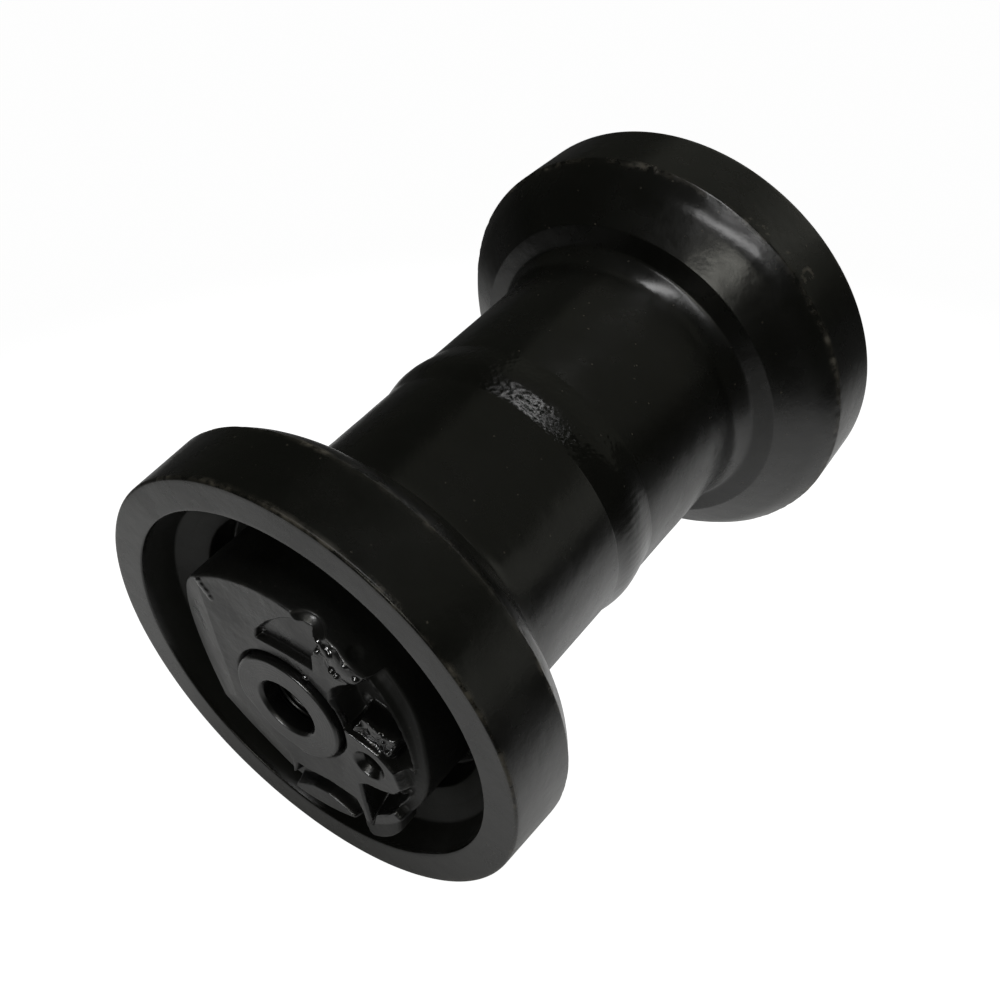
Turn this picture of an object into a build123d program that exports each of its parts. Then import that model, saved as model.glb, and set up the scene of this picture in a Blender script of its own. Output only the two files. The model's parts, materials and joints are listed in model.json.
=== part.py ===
from build123d import *
import math
import os

# Bottom (track) roller of a small excavator, in millimetres.
# The roller turns about the Y axis, the origin is at the middle of its axis, and +Z is up.
# Each end is described by its distance from the middle plane, written "at", and by side, -1 (near) or +1 (far).

# --- driving dimensions ---
BODY_LENGTH = 222.2          # over the two rim faces
SHAFT_LENGTH = 237.6         # over the two shaft ends
RIM_R = 80.5                 # running surface, at its inner edge
RIM_FACE_R = 79.5            # running surface, at the rim's outer face
RIM_WIDTH = 24.6
TUBE_R = 51.7                # waist tube between the rims
TUBE_BORE_R = 40.0           # oil space inside the waist
JOINT_Y = -4.5               # plane where the two shell halves are welded
RECESS_R = 67.7              # mouth of the recess in each rim face
RECESS_WALL_R = 64.4         # foot of the recess's wall
RECESS_STEP_R = 59.8         # sloping step inside the recess
SHAFT_END_R = 20.0           # shaft inside the end collars
JOURNAL_R = 22.5             # shaft inside the bushings
RUNNING_GAP = 0.05           # radial clearance of the shaft in its bushings
COLLAR_R = 49.3
COLLAR_PROUD = 5.7           # collar face beyond the rim face
BOLT_HOLE_R = 10.2           # minor radius of the M22 x 1.5 thread
BOLT_HOLE_DEPTH = 36.0       # to the end of the full diameter
BOLT_HOLE_CHAMFER = 0.8
DRILL_POINT = 6.1            # depth of the cone at the bottom of the bolt hole
SHAFT_CHAMFER = 0.7

# --- positions along the axis, as distances from the middle plane ---
FACE_AT = BODY_LENGTH / 2
SHAFT_END_AT = SHAFT_LENGTH / 2
COLLAR_FACE_AT = FACE_AT + COLLAR_PROUD
RIM_INNER_AT = FACE_AT - RIM_WIDTH
SHOULDER_AT = FACE_AT - 30.3         # rounded shoulder inside the rim
FLANK_AT = FACE_AT - 40.5            # foot of the tapered flank
WALL_AT = FACE_AT - 42.8             # side wall, where it meets the waist
RECESS_WALL_AT = FACE_AT - 11.5
RECESS_STEP_AT = FACE_AT - 14.0
RECESS_FLOOR_AT = FACE_AT - 16.5
SHOULDER_R = 76.2
FLANK_R = 62.8
BARREL_AT = 34.7                     # end of the shaft's thick middle
BUSH_FLANGE_AT = 35.0
BUSH_SEAT_AT = 39.0
BUSH_END_AT = 69.0
SHELL_CONE_AT = 72.0                 # bottom of the shell's seal seat
LABYRINTH_AT = 83.4                  # shell face behind the collar
SEAL_AT = 84.0                       # plane where the two seal rings meet
COLLAR_BACK_AT = 84.6
COLLAR_CONE_AT = 96.0                # bottom of the collar's seal seat
O_RING_AT = 98.4
PIN_AT = 113.5
PLUG_END_AT = 79.5                   # outer end of the oil plug, near end only

# --- radii inside the roller ---
BARREL_R = 28.0
BUSH_R = 27.5
BUSH_BORE_R = JOURNAL_R + RUNNING_GAP
BUSH_FLANGE_R = 33.0
LABYRINTH_R = 54.1
SEAL_SEAT_IN_R = 36.0
SEAL_SEAT_OUT_R = 38.2
SEAL_FILM = 0.03                     # half the gap between the two seal faces
SEAL_BORE_R = 26.0
SEAL_FACE_R = 34.5
SEAL_RING_WIDTH = 10.0
TORIC_R = 33.8
TORIC_SECTION_R = 2.85
TORIC_OFFSET = 7.6                   # from the plane where the seal rings meet
O_RING_GROOVE_WIDTH = 2.4
O_RING_GROOVE_DEPTH = 2.1
O_RING_SECTION_R = 1.0

# --- weld that joins the halves ---
WELD_LAND = 1.5                      # half width of the square root of the groove
WELD_ROOT_R = TUBE_BORE_R + 3.0
WELD_GROOVE = 9.0                    # half width of the groove at the waist's surface
WELD_CROWN = 12.5                    # half width of the crown
WELD_RISE = 1.6

# --- end collar, seen along +Y with +X to the right and +Z up ---
SHALLOW_FLOOR_AT = COLLAR_FACE_AT - 2.4
FLOOR_AT = COLLAR_FACE_AT - 4.5
DEEP_FLOOR_AT = COLLAR_FACE_AT - 9.0
LOW_WALL_AT = COLLAR_FACE_AT - 4.0   # top of the collar's outer wall beside the lobe
PAD_AT = COLLAR_FACE_AT - 1.8
SLOPE_START = 27.0                   # distance from the axis where the face starts to slope back
SLOPES = ((188.0, 0.36), (236.0, 0.27))     # direction in degrees and fall of each sloping flat
SLOPE_END_DEG = 262.0
BOSS_RELIEF_R = 21.6                 # chamfer in the collar, round the shaft
PIN_DEG = 57.5                       # direction of the lock pin
PIN_R = 2.5
PIN_INNER_R = 14.0
PIN_OUTER_R = 44.0
PIN_RIB_WIDTH = 8.0
PIN_RIB_RISE = 0.5                   # the pin's rib above the collar's face
DOME_X = 24.3                        # low dome on the pin's rib
DOME_Z = 36.5
DOME_R = 6.5
DOME_RISE = 1.5
SCOOP_DEG = 75.0                     # ball-shaped scoop in the collar's top edge
SCOOP_AT_R = 52.3
SCOOP_AT = 119.8
SCOOP_R = 8.0
DOWEL_R = 3.5
DOWEL_SINK_R = 5.9
DOWEL_SINK_DEPTH = 2.4
DOWEL_DEPTH = 14.0
DOWEL_AT_R = 30.6
DOWEL_DEG = -12.6

# --- oil filling ---
GALLERY_R = 4.0
CROSS_HOLE_R = 3.0
PLUG_R = 5.0
PLUG_LENGTH = 9.5
PLUG_FIT = 0.02
PLUG_GAP = 0.5                       # between the plug's inner end and the bottom of its seat
PLUG_SOCKET_ACROSS = 5.0
PLUG_SOCKET_DEPTH = 5.0


def ring(corners, side=1):
    """A closed profile of (radius, at) or (radius, at, rounding), turned about the Y axis."""
    points = [(corner[0], side * corner[1]) for corner in corners]
    rounding = [corner[2] if len(corner) > 2 else 0 for corner in corners]
    outline = FilletPolyline(*points, radius=rounding, close=True)
    return revolve(make_face(outline), Axis.Y, 360)


def disc(radius, start_at, end_at):
    """A plain cylinder on the Y axis between two distances along it."""
    outline = Plane.XZ * Circle(radius)
    return extrude(outline, end_at - start_at, dir=(0, 1, 0)).moved(Location((0, start_at, 0)))


def slab(outline, start_at, end_at):
    """A flat outline of (x, z) points, as thick as the near end's span from start_at to end_at."""
    face = Plane.XZ * make_face(Polyline(*outline, close=True))
    return extrude(face, end_at - start_at, dir=(0, -1, 0)).moved(Location((0, -start_at, 0)))


def polar(radius, degrees):
    """The (x, z) point at a radius and an angle, from +X towards +Z."""
    angle = math.radians(degrees)
    return radius * math.cos(angle), radius * math.sin(angle)


def arc_points(radius, start_deg, end_deg, steps=6):
    """Points along an arc about the axis, for the edge of a pocket."""
    return [polar(radius, start_deg + (end_deg - start_deg) * i / steps) for i in range(steps + 1)]


def radial_pin(radius, inner, outer, degrees, at):
    """A round bar that points at the axis, from one radius to another."""
    x, z = polar(1, degrees)
    plane = Plane(origin=(x * inner, -at, z * inner), z_dir=(x, 0, z))
    return extrude(plane * Circle(radius), outer - inner)


def place(near_part, side):
    """Turn a part of the near end round to the far end, about the line through the dowel hole."""
    if side < 0:
        return near_part
    x, z = polar(1, DOWEL_DEG)
    return near_part.rotate(Axis((0, 0, 0), (x, 0, z)), 180)


def shell_half(side):
    """Forged rim, flank and half of the waist tube, with its recess, seal seat and bushing seat."""
    joint_at = side * JOINT_Y
    return ring([
        (RECESS_R, FACE_AT, 0.8),
        (RIM_FACE_R, FACE_AT, 1.1),
        (RIM_R, RIM_INNER_AT, 1.0),
        (SHOULDER_R, SHOULDER_AT, 3.0),
        (FLANK_R, FLANK_AT, 2.0),
        (TUBE_R, WALL_AT, 5.0),
        (TUBE_R, joint_at + WELD_GROOVE),
        (WELD_ROOT_R, joint_at + WELD_LAND),
        (WELD_ROOT_R, joint_at),
        (TUBE_BORE_R, joint_at),
        (TUBE_BORE_R, BUSH_SEAT_AT),
        (BUSH_R, BUSH_SEAT_AT),
        (BUSH_R, SHELL_CONE_AT),
        (SEAL_SEAT_IN_R, SHELL_CONE_AT, 1.0),
        (SEAL_SEAT_OUT_R, LABYRINTH_AT, 0.5),
        (LABYRINTH_R, LABYRINTH_AT, 1.0),
        (LABYRINTH_R, RECESS_FLOOR_AT, 1.0),
        (RECESS_STEP_R, RECESS_STEP_AT, 1.0),
        (RECESS_WALL_R, RECESS_WALL_AT, 1.5),
    ], side)


def weld_bead():
    """Ring of weld metal in the groove between the halves, with a low crown outside."""
    near_edge = (TUBE_R, JOINT_Y - WELD_CROWN)
    far_edge = (TUBE_R, JOINT_Y + WELD_CROWN)
    crown = ThreePointArc(far_edge, (TUBE_R + WELD_RISE, JOINT_Y), near_edge)
    groove = Polyline(
        near_edge,
        (TUBE_R, JOINT_Y - WELD_GROOVE),
        (WELD_ROOT_R, JOINT_Y - WELD_LAND),
        (WELD_ROOT_R, JOINT_Y + WELD_LAND),
        (TUBE_R, JOINT_Y + WELD_GROOVE),
        far_edge,
    )
    return revolve(make_face(Curve() + [crown, groove]), Axis.Y, 360)


def bushing(side):
    """Bimetal bushing; its flange takes the end thrust of the shaft's thick middle."""
    return ring([
        (BUSH_BORE_R, BUSH_FLANGE_AT, 0.5),
        (BUSH_FLANGE_R, BUSH_FLANGE_AT, 0.5),
        (BUSH_FLANGE_R, BUSH_SEAT_AT),
        (BUSH_R, BUSH_SEAT_AT),
        (BUSH_R, BUSH_END_AT, 0.5),
        (BUSH_BORE_R, BUSH_END_AT, 0.5),
    ], side)


def bolt_hole(side):
    """Tapped hole in a shaft end, with its chamfer and drill point."""
    mouth_r = BOLT_HOLE_R + BOLT_HOLE_CHAMFER
    bottom_at = SHAFT_END_AT - BOLT_HOLE_DEPTH
    return ring([
        (0, SHAFT_END_AT + 1),
        (mouth_r, SHAFT_END_AT + 1),
        (mouth_r, SHAFT_END_AT),
        (BOLT_HOLE_R, SHAFT_END_AT - BOLT_HOLE_CHAMFER),
        (BOLT_HOLE_R, bottom_at),
        (0, bottom_at - DRILL_POINT),
    ], side)


def shaft():
    """Stationary shaft with two tapped ends, O-ring grooves, pin holes and the oil gallery."""
    groove_r = SHAFT_END_R - O_RING_GROOVE_DEPTH
    groove_half = O_RING_GROOVE_WIDTH / 2
    half = [
        (0, SHAFT_END_AT),
        (SHAFT_END_R - SHAFT_CHAMFER, SHAFT_END_AT),
        (SHAFT_END_R, SHAFT_END_AT - SHAFT_CHAMFER),
        (SHAFT_END_R, O_RING_AT + groove_half),
        (groove_r, O_RING_AT + groove_half),
        (groove_r, O_RING_AT - groove_half),
        (SHAFT_END_R, O_RING_AT - groove_half),
        (SHAFT_END_R, COLLAR_CONE_AT),
        (JOURNAL_R, COLLAR_CONE_AT),
        (JOURNAL_R, BARREL_AT),
        (BARREL_R, BARREL_AT),
    ]
    near_half = [(radius, -at) for radius, at in half]
    body = revolve(make_face(Polyline(*near_half, *half[::-1], close=True)), Axis.Y, 360)
    for side in (-1, 1):
        body -= bolt_hole(side)
        body -= place(radial_pin(PIN_R, PIN_INNER_R, SHAFT_END_R + 1, PIN_DEG, PIN_AT), side)
    body -= disc(GALLERY_R, -PLUG_END_AT, 0)
    body -= disc(PLUG_R, -PLUG_END_AT - 1, -PLUG_END_AT + PLUG_LENGTH + PLUG_GAP)
    body -= extrude(Plane.XY * Circle(CROSS_HOLE_R), BARREL_R + 1, both=True)
    return body


def oil_plug():
    """Threaded plug with a hexagon socket, at the bottom of the near tapped hole."""
    body = disc(PLUG_R - PLUG_FIT, -PLUG_END_AT, -PLUG_END_AT + PLUG_LENGTH)
    hexagon = Plane.XZ * RegularPolygon(PLUG_SOCKET_ACROSS / 2, 6, major_radius=False)
    return body - extrude(hexagon, PLUG_SOCKET_DEPTH, dir=(0, 1, 0)).moved(Location((0, -PLUG_END_AT, 0)))


def collar_body():
    """The collar's turned shape: disc, seal seat at the back, bore and chamfer round the shaft."""
    return ring([
        (SHAFT_END_R, COLLAR_CONE_AT),
        (SEAL_SEAT_IN_R, COLLAR_CONE_AT, 1.0),
        (SEAL_SEAT_OUT_R, COLLAR_BACK_AT, 0.5),
        (COLLAR_R, COLLAR_BACK_AT, 1.0),
        (COLLAR_R, COLLAR_FACE_AT, 1.2),
        (BOSS_RELIEF_R, COLLAR_FACE_AT),
        (SHAFT_END_R, COLLAR_FACE_AT - 2.0),
    ], -1)


def sloping_faces():
    """Metal cut away where the collar's face slopes back to its edge, as two flats."""
    reach = COLLAR_R + 3 - SLOPE_START
    sector = slab([(0, 0)] + arc_points(2 * COLLAR_R, 100, SLOPE_END_DEG, 12), COLLAR_BACK_AT, COLLAR_FACE_AT + 1)
    flats = []
    for direction, fall in SLOPES:
        x, z = polar(1, direction)
        plane = Plane(origin=(x * SLOPE_START, -COLLAR_FACE_AT, z * SLOPE_START), x_dir=(x, 0, z), z_dir=(-z, 0, x))
        profile = Polyline((0, 0), (reach, fall * reach), (reach, -1), (0, -1), close=True)
        flats.append(extrude(plane * make_face(profile), 2 * COLLAR_R, both=True) & sector)
    return flats


def pockets():
    """The cast pockets of the collar's face and its low outer wall, as (outline, floor) pairs."""
    wall_r = 45.2
    outer_r = COLLAR_R + 1
    beside_rib = [(-10.3, 25.0), (0.0, 26.0), (11.5, 26.2), (11.8, 32.5), (15.5, 40.0)]
    beside_rib += [(12.5, 44.5), (6.8, 45.5), (1.8, 42.0), (-4.4, 36.0), (-9.5, 28.9)]
    above_lobe = [(21.5, 5.5), (17.5, 15.5), (19.0, 22.5), (25.0, 28.0)]
    above_lobe += arc_points(wall_r, 50, -4)
    above_lobe += [(39.5, -1.5), (34.0, 2.6), (27.0, 4.3)]
    below_lobe = [(25.5, -21.0), (28.5, -18.6), (34.0, -17.2), (40.0, -14.0)]
    below_lobe += arc_points(wall_r, -18, -49, 3)
    below_lobe += [(28.5, -40.0), (26.6, -31.0)]
    bottom = [(-1.5, -33.0), (4.0, -32.6), (12.0, -30.8), (22.5, -31.2), (24.5, -36.0), (26.2, -43.0)]
    bottom += arc_points(outer_r, -60, -64, 1)
    bottom += [(22.8, -44.2), (17.5, -41.0), (10.5, -39.0), (4.0, -40.2), (-3.5, -45.0)]
    bottom += arc_points(outer_r, -98, -104, 1)
    bottom += [(-3.4, -39.5)]
    low_wall = arc_points(wall_r - 0.6, 49, 2, 8) + [(39.9, -2.2), (42.3, -9.5), (39.6, -13.6)]
    low_wall += arc_points(wall_r - 0.6, -19, -33, 3) + arc_points(COLLAR_R + 3, -33, 49, 10)
    return [
        (beside_rib, SHALLOW_FLOOR_AT),
        (above_lobe, DEEP_FLOOR_AT),
        (below_lobe, DEEP_FLOOR_AT),
        (bottom, FLOOR_AT),
        (low_wall, LOW_WALL_AT),
    ]


def edge_scoop():
    """Metal cut away by the round scoop in the collar's top edge."""
    x, z = polar(SCOOP_AT_R, SCOOP_DEG)
    return Pos(x, -SCOOP_AT, z) * Sphere(SCOOP_R)


def pad():
    """Raised pad in the pocket above the lobe."""
    outline = [(20.5, 2.5), (26.5, 14.0), (41.0, 12.5), (37.8, -0.6), (33.0, 1.5)]
    return slab(outline, DEEP_FLOOR_AT - 0.5, PAD_AT)


def foot():
    """Lug at the lower right, which stands out past the collar's edge."""
    outline = [(24.9, -30.0), (25.2, -42.5), (26.4, -46.3), (28.8, -47.8), (32.1, -45.6), (36.5, -40.6)]
    outline += [(39.9, -34.8), (38.9, -32.0), (34.5, -38.3), (30.6, -40.2), (28.3, -38.5), (27.2, -35.0)]
    return slab(outline, DEEP_FLOOR_AT, COLLAR_FACE_AT)


def rib_dome():
    """Low round dome on the pin's rib, down to the pocket's floor and no wider than the collar."""
    ball_r = (DOME_R**2 + DOME_RISE**2) / (2 * DOME_RISE)
    ball = Pos(DOME_X, -(COLLAR_FACE_AT + DOME_RISE - ball_r), DOME_Z) * Sphere(ball_r)
    column = extrude(Plane.XZ * Pos(DOME_X, DOME_Z) * Circle(DOME_R), 20, dir=(0, -1, 0))
    inside_collar = disc(COLLAR_R - 0.5, -COLLAR_FACE_AT - 2, -DEEP_FLOOR_AT + 0.5)
    return column.moved(Location((0, -DEEP_FLOOR_AT + 0.5, 0))) & inside_collar & ball


def pin_rib():
    """Raised rib over the lock pin, from the boss ring to the collar's edge."""
    x, z = polar(1, PIN_DEG)
    middle = (SHAFT_END_R + 6 + COLLAR_R - 1.5) / 2
    length = COLLAR_R - 1.5 - (SHAFT_END_R + 6)
    top_at = COLLAR_FACE_AT + PIN_RIB_RISE
    plane = Plane(origin=(x * middle, -FLOOR_AT, z * middle), x_dir=(x, 0, z), z_dir=(0, -1, 0))
    rib = extrude(plane * Rectangle(length, PIN_RIB_WIDTH), top_at - FLOOR_AT)
    return fillet(rib.edges().filter_by(Axis.Y), 1.5)


def collar():
    """End collar of the near end: the casting that holds the shaft and the still half of the seal."""
    body = collar_body() - edge_scoop()
    for flat in sloping_faces():
        body -= flat
    for outline, floor_at in pockets():
        body -= slab(outline, floor_at, COLLAR_FACE_AT + 1)
    body += pad() + foot() + pin_rib() + rib_dome()
    body -= radial_pin(PIN_R, SHAFT_END_R - 1, COLLAR_R + 1, PIN_DEG, PIN_AT)
    x, z = polar(DOWEL_AT_R, DOWEL_DEG)
    dowel = Plane(origin=(x, -COLLAR_FACE_AT, z), z_dir=(0, 1, 0))
    body -= extrude(dowel * Circle(DOWEL_R), DOWEL_DEPTH)
    sink = Plane(origin=(x, -COLLAR_FACE_AT - 0.01, z), z_dir=(0, 1, 0))
    body -= loft([sink * Circle(DOWEL_SINK_R), sink.offset(DOWEL_SINK_DEPTH) * Circle(DOWEL_R)])
    return body


def lock_pin():
    """Pin that holds the near collar on the shaft."""
    pin = radial_pin(PIN_R - 0.01, PIN_INNER_R + 0.1, PIN_OUTER_R, PIN_DEG, PIN_AT)
    return chamfer(pin.edges(), 0.4)


def seal_ring(side, turning):
    """Metal ring of a floating seal, on the shell's side (turning) or on the collar's (still)."""
    direction = -1 if turning else 1
    corners = [
        (SEAL_BORE_R, SEAL_FILM, 0.3),
        (SEAL_FACE_R, SEAL_FILM, 0.3),
        (SEAL_FACE_R, 3.5, 0.8),
        (SEAL_FACE_R - 3.0, 5.0, 1.0),
        (SEAL_FACE_R - 4.3, SEAL_RING_WIDTH, 0.5),
        (SEAL_BORE_R, SEAL_RING_WIDTH, 0.5),
    ]
    return ring([(radius, SEAL_AT + direction * depth, rounding) for radius, depth, rounding in corners], side)


def torus(radius, at, section_r):
    """A rubber ring of round section."""
    return revolve(Plane.XY * Pos(radius, at) * Circle(section_r), Axis.Y, 360)


def toric_ring(side, turning):
    """Rubber ring that carries and presses a metal seal ring."""
    direction = -1 if turning else 1
    return torus(TORIC_R, side * (SEAL_AT + direction * TORIC_OFFSET), TORIC_SECTION_R)


def collar_o_ring(side):
    """O-ring in the shaft's groove, inside the collar's bore."""
    radius = SHAFT_END_R - O_RING_GROOVE_DEPTH / 2
    return torus(radius, side * O_RING_AT, O_RING_SECTION_R)


def build():
    """Every piece of the roller, by node name."""
    nodes = {"shaft": shaft(), "weld_bead": weld_bead(), "oil_plug": oil_plug()}
    near_collar = collar()
    near_pin = lock_pin()
    for side, end in ((-1, "near"), (1, "far")):
        nodes[f"shell_half_{end}"] = shell_half(side)
        nodes[f"bushing_{end}"] = bushing(side)
        nodes[f"collar_{end}"] = place(near_collar, side)
        nodes[f"lock_pin_{end}"] = place(near_pin, side)
        nodes[f"seal_ring_turning_{end}"] = seal_ring(side, True)
        nodes[f"seal_ring_still_{end}"] = seal_ring(side, False)
        nodes[f"toric_ring_turning_{end}"] = toric_ring(side, True)
        nodes[f"toric_ring_still_{end}"] = toric_ring(side, False)
        nodes[f"collar_o_ring_{end}"] = collar_o_ring(side)
    return nodes


os.makedirs("parts", exist_ok=True)
for name, piece in build().items():
    export_step(piece, f"parts/{name}.step")
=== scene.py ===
import json
import math

import bmesh
import bpy
import numpy as np
from mathutils import Matrix, Vector


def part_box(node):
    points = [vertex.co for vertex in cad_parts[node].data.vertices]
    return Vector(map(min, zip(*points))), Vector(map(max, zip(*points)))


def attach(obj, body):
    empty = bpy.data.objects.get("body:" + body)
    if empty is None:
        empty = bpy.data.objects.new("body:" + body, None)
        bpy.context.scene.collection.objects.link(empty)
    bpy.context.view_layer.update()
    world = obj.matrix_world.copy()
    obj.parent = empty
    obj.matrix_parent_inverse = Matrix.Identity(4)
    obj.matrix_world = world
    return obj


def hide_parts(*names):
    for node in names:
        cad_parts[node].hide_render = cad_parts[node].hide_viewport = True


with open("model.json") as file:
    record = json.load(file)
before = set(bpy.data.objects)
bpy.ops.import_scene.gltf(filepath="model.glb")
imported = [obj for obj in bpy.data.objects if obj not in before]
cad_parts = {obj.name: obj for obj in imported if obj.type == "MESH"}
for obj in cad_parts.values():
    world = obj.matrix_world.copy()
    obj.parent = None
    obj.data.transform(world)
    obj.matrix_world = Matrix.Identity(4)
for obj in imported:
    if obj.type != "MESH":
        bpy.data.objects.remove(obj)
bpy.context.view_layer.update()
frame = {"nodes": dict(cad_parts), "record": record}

# The roller turns about the Y axis, the near end is at -Y, and +Z is up. Its shapes are in millimetres here,
# and the floor, lights and camera are in metres.
MM = 0.001
NEAR, FAR = -1, 1

# --- sizes that repeat the CAD part's, in millimetres from the axis or from the middle plane ---
FACE_AT = 111.1          # faces of the rims
SHAFT_END_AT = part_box("shaft")[1].y / MM
RIM_R = 80.5
RIM_EDGE_AT = FACE_AT - 24.6    # inner edge of the running surface
COLLAR_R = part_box("collar_near")[1].x / MM
COLLAR_FACE_AT = 116.8
COLLAR_BACK_AT = 84.6
SEAL_FLOOR_AT = COLLAR_BACK_AT + 11.4    # floor of the seal's seat in the collar
TUBE_R = 51.7
TUBE_BORE_R = 40.0
JOINT_Y = -4.5           # where the shell halves meet
BUSHING_R = 27.5
RECESS_R = 54.1          # wall of the recess round the collar
RECESS_FLOOR_AT = 83.4
SHAFT_R = 20.0
JOURNAL_R = 22.5
BOLT_R = 10.2            # minor radius of the tapped holes in the shaft's ends
PIN_DEG = 57.5           # the lock pin's direction
PIN_AT = 113.5
DOWEL_DEG = -12.6        # the dowel hole's direction, distance from the axis, radius and depth
DOWEL_AT_R = 30.6
DOWEL_R = 3.5
DOWEL_DEPTH = 14.0


# ---------------------------------------------------------------- noise
NOISE_CELLS = 32         # the noise repeats after this many cells
NOISE_START = 500.0      # in cells; far enough that no cell has a negative number


def noise3(points, size, seed):
    """Smooth noise in -1..1 at points (n, 3), with features of the given size."""
    table = np.random.default_rng(seed).random((NOISE_CELLS,) * 3) * 2 - 1
    p = points / size + NOISE_START
    cell = np.floor(p).astype(int)
    f = p - cell
    f = f * f * f * (f * (f * 6 - 15) + 10)
    out = np.zeros(len(points))
    for dx in (0, 1):
        wx = f[:, 0] if dx else 1 - f[:, 0]
        for dy in (0, 1):
            wy = f[:, 1] if dy else 1 - f[:, 1]
            for dz in (0, 1):
                wz = f[:, 2] if dz else 1 - f[:, 2]
                near = (cell + (dx, dy, dz)) % NOISE_CELLS
                out += wx * wy * wz * table[near[:, 0], near[:, 1], near[:, 2]]
    return out


def cloud(points, size, seed, octaves=3):
    """Several layers of noise, each half the size and half the strength of the one before."""
    total = np.zeros(len(points))
    for i in range(octaves):
        total += noise3(points, size / 2**i, seed + i) / 2**i
    return total


def smooth(x, lo, hi):
    """A smooth step from 0 at lo to 1 at hi."""
    t = np.clip((x - lo) / (hi - lo), 0, 1)
    return t * t * (3 - 2 * t)


def hump(x, centre, width):
    """A bell curve: 1 at the centre and nearly 0 two widths away."""
    return np.exp(-(((x - centre) / width) ** 2))


# ---------------------------------------------------------------- profiles and lathes
def polar(radius, degrees):
    angle = math.radians(degrees)
    return radius * math.cos(angle), radius * math.sin(angle)


def arc_points(radius, start, end, steps=6):
    return [polar(radius, start + (end - start) * i / steps) for i in range(steps + 1)]


def rounded(corners, steps=6):
    """A closed (radius, y) outline as points in order. A corner's third number is its rounding radius."""
    most = 0.75              # no rounding takes up more than this share of a side
    out = []
    n = len(corners)
    for i, corner in enumerate(corners):
        r = corner[2] if len(corner) > 2 else 0.0
        p = np.array(corner[:2], float)
        a = np.array(corners[i - 1][:2], float) - p
        b = np.array(corners[(i + 1) % n][:2], float) - p
        la, lb = np.linalg.norm(a), np.linalg.norm(b)
        if r <= 0:
            out.append(p)
            continue
        a, b = a / la, b / lb
        half = math.acos(max(-1.0, min(1.0, float(a @ b)))) / 2
        cut = min(r / math.tan(half), most * la, most * lb)
        r = cut * math.tan(half)
        start, end = p + a * cut, p + b * cut
        centre = p + (a + b) / np.linalg.norm(a + b) * (r / math.sin(half))
        u, v = start - centre, end - centre
        turn = math.atan2(u[0] * v[1] - u[1] * v[0], u @ v)
        for k in range(steps + 1):
            t = turn * k / steps
            c, s = math.cos(t), math.sin(t)
            out.append(centre + np.array((u[0] * c - u[1] * s, u[0] * s + u[1] * c)))
    return np.array(out)


def divided(points, longest):
    """Adds points to a closed outline so that no step is longer than longest(r, y)."""
    out = []
    for a, b in zip(points, np.roll(points, -1, 0)):
        length = np.linalg.norm(b - a)
        pieces = max(1, math.ceil(length / longest(*((a + b) / 2)) - 1e-6))
        for k in range(pieces):
            out.append(a + (b - a) * k / pieces)
    return np.array(out)


def outward(points):
    """Unit normals of a closed outline, pointing out of it."""
    along = np.roll(points, -1, 0) - np.roll(points, 1, 0)
    normal = np.stack([-along[:, 1], along[:, 0]], 1)
    normal = normal / np.maximum(np.linalg.norm(normal, axis=1), 1e-9)[:, None]
    r, y = points.T
    anticlockwise = (r * np.roll(y, -1) - y * np.roll(r, -1)).sum() > 0
    return -normal if anticlockwise else normal


def turned(profile, segments, displace=None):
    """Points (n, 3) of a closed outline turned about Y, moved along their normals by displace(points)."""
    angle = np.arange(segments) * (2 * math.pi / segments)
    c, s = np.cos(angle)[None, :], np.sin(angle)[None, :]
    r, y = (np.repeat(column[:, None], segments, 1) for column in profile.T)
    points = np.stack([r * c, y, r * s], 2)
    if displace is not None:
        normal = outward(profile)
        n3 = np.stack([normal[:, :1] * c, np.repeat(normal[:, 1:], segments, 1), normal[:, :1] * s], 2)
        amount = displace(points.reshape(-1, 3)).reshape(r.shape)
        points = points + n3 * amount[..., None]
    return points.reshape(-1, 3)


def grid_faces(rows, columns, wrap_rows=True):
    """Quads between neighbouring points of a grid whose columns go all the way round."""
    i = np.arange(rows if wrap_rows else rows - 1)[:, None]
    j = np.arange(columns)[None, :]
    i2, j2 = (i + 1) % rows, (j + 1) % columns
    corners = [i * columns + j, i * columns + j2, i2 * columns + j2, i2 * columns + j]
    return np.stack(corners, 2).reshape(-1, 4).tolist()


def link_mesh(name, mesh):
    obj = bpy.data.objects.new(name, mesh)
    bpy.context.scene.collection.objects.link(obj)
    return obj


def make_mesh(name, points, faces, marks=None):
    """A smooth-shaded mesh object from points in millimetres. marks are named values on its points."""
    mesh = bpy.data.meshes.new(name)
    mesh.from_pydata((points * MM).tolist(), [], faces)
    for key, values in (marks or {}).items():
        attribute = mesh.attributes.new(key, "FLOAT", "POINT")
        attribute.data.foreach_set("value", np.asarray(values, np.float32))
    mesh.validate()
    mesh.update()
    face_outwards(mesh)
    mesh.shade_smooth()
    return link_mesh(name, mesh)


def face_outwards(mesh):
    bm = bmesh.new()
    bm.from_mesh(mesh)
    bmesh.ops.recalc_face_normals(bm, faces=bm.faces)
    bm.to_mesh(mesh)
    bm.free()


# ---------------------------------------------------------------- materials
# sizes of the surface textures, in features per metre
BLOTCHES, GLOSS_PATCHES, PEEL, FINE, GRIT = 28, 45, 110, 260, 900
SPECKS, DROPLETS = 420, 620
METAL_PATCHES, METAL_GRAIN = 37.5, 300


def material(name):
    m = bpy.data.materials.new(name)
    m.use_nodes = True
    tree = m.node_tree
    tree.nodes.clear()
    out = tree.nodes.new("ShaderNodeOutputMaterial")
    shader = tree.nodes.new("ShaderNodeBsdfPrincipled")
    tree.links.new(shader.outputs[0], out.inputs[0])
    coords = tree.nodes.new("ShaderNodeTexCoord").outputs["Object"]
    return m, tree, shader, coords


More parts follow.
